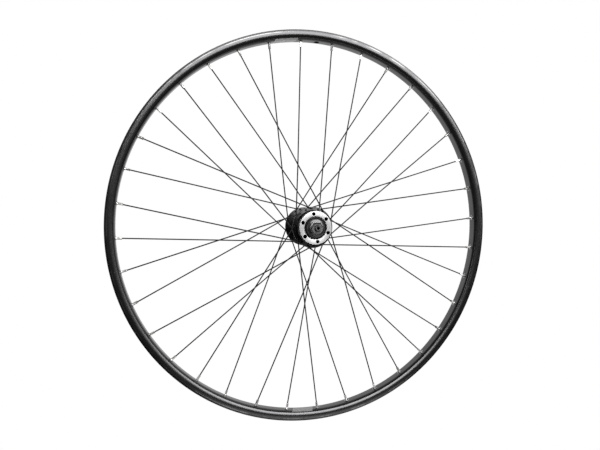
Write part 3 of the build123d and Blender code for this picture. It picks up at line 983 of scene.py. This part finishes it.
def thread_shape(radius, y, angle):
    """A screw thread on both ends of the axle."""
    reach = abs(y)
    if radius < AXLE_RADIUS - HAIR or not THREAD_START <= reach <= THREAD_END:
        return radius
    run_in = min(1, (reach - THREAD_START) / THREAD_PITCH)
    run_out = min(1, (THREAD_END - reach) / (THREAD_PITCH / 2))
    return radius - THREAD_DEPTH * zigzag(y / THREAD_PITCH + angle / (2 * pi)) * min(run_in, run_out)


def make_axle(finish):
    """A hollow axle with chamfered, threaded ends."""
    row = THREAD_PITCH / THREAD_ROWS
    rows = int((THREAD_END - THREAD_START) / row)
    half = [
        *((AXLE_RADIUS, THREAD_START + row * k, 0) for k in range(rows + 1)),
        (AXLE_RADIUS, AXLE_END - AXLE_CHAMFER, 0),
        (AXLE_RADIUS - AXLE_CHAMFER, AXLE_END, 0),
        (AXLE_BORE_RADIUS + AXLE_MOUTH_CHAMFER, AXLE_END, 0),
        (AXLE_BORE_RADIUS, AXLE_END - AXLE_MOUTH_CHAMFER, 0),
    ]
    rod = lathe(rounded(mirrored(half)), AXLE_STEPS, thread_shape)
    piece("threaded_axle", rod, "axle_set", finish, ["axle"])


def radius_at(y, outline):
    """How far an outline is from the axle at that y."""
    for (r0, y0), (r1, y1) in zip(outline, outline[1:]):
        if y0 <= y <= y1 and y1 > y0:
            return r0 + (r1 - r0) * (y - y0) / (y1 - y0)
    return outline[-1][0]


def make_rim_label(name):
    """A plain film on the spoke bed, with slanted ends."""
    start, end, low, high, pale = LABELS[name]
    bed, lip, well = rim_corners()
    outline = rounded(mirrored(bed + lip + well))
    skin = [(radius, y) for radius, y in outline if abs(y) < SKIN_SIDE and radius < SKIN_RADIUS]
    skin.sort(key=lambda spot: spot[1])
    mesh = bmesh.new()
    columns, rows = LABEL_COLUMNS, LABEL_ROWS
    layers = []
    for depth in (LABEL_PROUD, -LABEL_PROUD):
        layer = []
        for i in range(columns + 1):
            column = []
            for j in range(rows + 1):
                y = low + (high - low) * j / rows
                angle = start + (end - start) * i / columns + LABEL_SLANT * y
                column.append(mesh.verts.new(on_circle(radius_at(y, skin) - depth, angle, y)))
            layer.append(column)
        layers.append(layer)
    face, back = layers
    for i in range(columns):
        for j in range(rows):
            mesh.faces.new((face[i][j], face[i + 1][j], face[i + 1][j + 1], face[i][j + 1]))
            mesh.faces.new((back[i][j], back[i][j + 1], back[i + 1][j + 1], back[i + 1][j]))
    for i in range(columns):
        mesh.faces.new((face[i][0], back[i][0], back[i + 1][0], face[i + 1][0]))
        mesh.faces.new((face[i][rows], face[i + 1][rows], back[i + 1][rows], back[i][rows]))
    for j in range(rows):
        mesh.faces.new((face[0][j], face[0][j + 1], back[0][j + 1], back[0][j]))
        mesh.faces.new((face[columns][j], back[columns][j], back[columns][j + 1], face[columns][j + 1]))
    bmesh.ops.recalc_face_normals(mesh, faces=mesh.faces)
    piece(name, mesh, "wheel", label_film(name, pale))


# Studio


def from_hub(azimuth, elevation):
    """A direction from the hub. Azimuth 0 is straight out from the disc side."""
    a, e = radians(azimuth), radians(elevation)
    return Vector((sin(a) * cos(e), -cos(a) * cos(e), sin(e)))


def make_camera():
    """The camera at the photograph's view."""
    data = bpy.data.cameras.new("photo_camera")
    data.lens = LENS_MM
    data.sensor_width = SENSOR_MM
    data.sensor_fit = "HORIZONTAL"
    camera = placed("photo_camera", data)
    camera.location = from_hub(CAMERA_AZIMUTH, CAMERA_ELEVATION) * CAMERA_DISTANCE
    camera.rotation_mode = "QUATERNION"
    camera.rotation_quaternion = (CAMERA_AIM - camera.location).to_track_quat("-Z", "Y")
    bpy.context.scene.camera = camera


def make_softbox(name):
    """A rectangular light that faces the hub."""
    azimuth, elevation, distance, width, height, radiance = SOFTBOXES[name]
    data = bpy.data.lights.new(name, "AREA")
    data.shape = "RECTANGLE"
    data.size, data.size_y = width, height
    data.energy = radiance * pi * width * height
    lamp = placed(name, data)
    lamp.location = from_hub(azimuth, elevation) * distance
    lamp.rotation_mode = "QUATERNION"
    lamp.rotation_quaternion = lamp.location.to_track_quat("Z", "Y")
    lamp.visible_camera = False


def make_world():
    """A white backdrop behind the wheel, a dark room before it, and white for the camera."""
    world = bpy.data.worlds.new("studio")
    bpy.context.scene.world = world
    world.use_nodes = True
    tree = world.node_tree
    tree.nodes.clear()
    split = add_node(tree, "ShaderNodeSeparateXYZ")
    tree.links.new(add_node(tree, "ShaderNodeTexCoord").outputs["Generated"], split.inputs[0])
    room = add_node(tree, "ShaderNodeBackground")
    behind = spread(tree, split.outputs["Y"], 0.0, BACKDROP_EDGE, ROOM_LIGHT, BACKDROP_LIGHT)
    tree.links.new(behind, room.inputs["Strength"])
    white = add_node(tree, "ShaderNodeBackground", Color=(1, 1, 1, 1))
    mix = add_node(tree, "ShaderNodeMixShader")
    tree.links.new(add_node(tree, "ShaderNodeLightPath").outputs["Is Camera Ray"], mix.inputs["Fac"])
    tree.links.new(room.outputs[0], mix.inputs[1])
    tree.links.new(white.outputs[0], mix.inputs[2])
    tree.links.new(mix.outputs[0], add_node(tree, "ShaderNodeOutputWorld").inputs["Surface"])


def make_floor():
    """A plain white floor that meets the backdrop without a line."""
    material, _, shader = new_finish("studio_floor", metallic=0.0)
    shader.inputs["Base Color"].default_value = (0, 0, 0, 1)
    shader.inputs["Specular IOR Level"].default_value = 0
    shader.inputs["Emission Color"].default_value = (1, 1, 1, 1)
    shader.inputs["Emission Strength"].default_value = 1.0
    mesh = bmesh.new()
    bmesh.ops.create_grid(mesh, x_segments=1, y_segments=1, size=FLOOR_SIZE / 2)
    floor = placed("studio_floor", stored(mesh, "studio_floor"))
    floor.data.materials.append(material)
    floor.location.z = -RIM_RADIUS * MM
    floor.visible_glossy = floor.visible_diffuse = floor.visible_shadow = False


# The wheel in its studio

WHEEL_PLACE = make_wheel_place()
TURNING_LINES = make_turning_lines()
HANDLING_MARKS = make_handling_marks()

node_finishes = {
    "spoke": drawn_spoke_steel(),
    "bearing": turned_steel("ground_bearing_steel", dark=0.5, pale=0.6, shine=0.16, dull=0.26),
    "dust_cap": turned_steel("pressed_cap_steel", dark=0.1, pale=0.14, shine=0.3, dull=0.42),
}
for name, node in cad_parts.items():
    for start, finish in node_finishes.items():
        if name.startswith(start):
            node.data.materials.clear()
            node.data.materials.append(finish)

make_rim(anodised_rim())
make_eyelets(pressed_eyelet_steel())
make_nipples(nickel_nipple())
make_hub_shell(black_hub())
make_axle(turned_steel("threaded_axle_steel", dark=0.2, pale=0.26, shine=0.32, dull=0.42))
boot_rubber = rubber_boot()
washer_steel = turned_steel("washer_steel", dark=0.36, pale=0.44, shine=0.32, dull=0.42)
nut_steel = turned_steel("dark_nut_steel", dark=0.1, pale=0.13, shine=0.32, dull=0.42)
for side in SIDES:
    make_boot(side, boot_rubber)
    make_washer(side, washer_steel)
    make_locknut(side, nut_steel)
for label in LABELS:
    make_rim_label(label)

bpy.context.scene.view_settings.view_transform = "Standard"
make_camera()
make_world()
for softbox in SOFTBOXES:
    make_softbox(softbox)
make_floor()
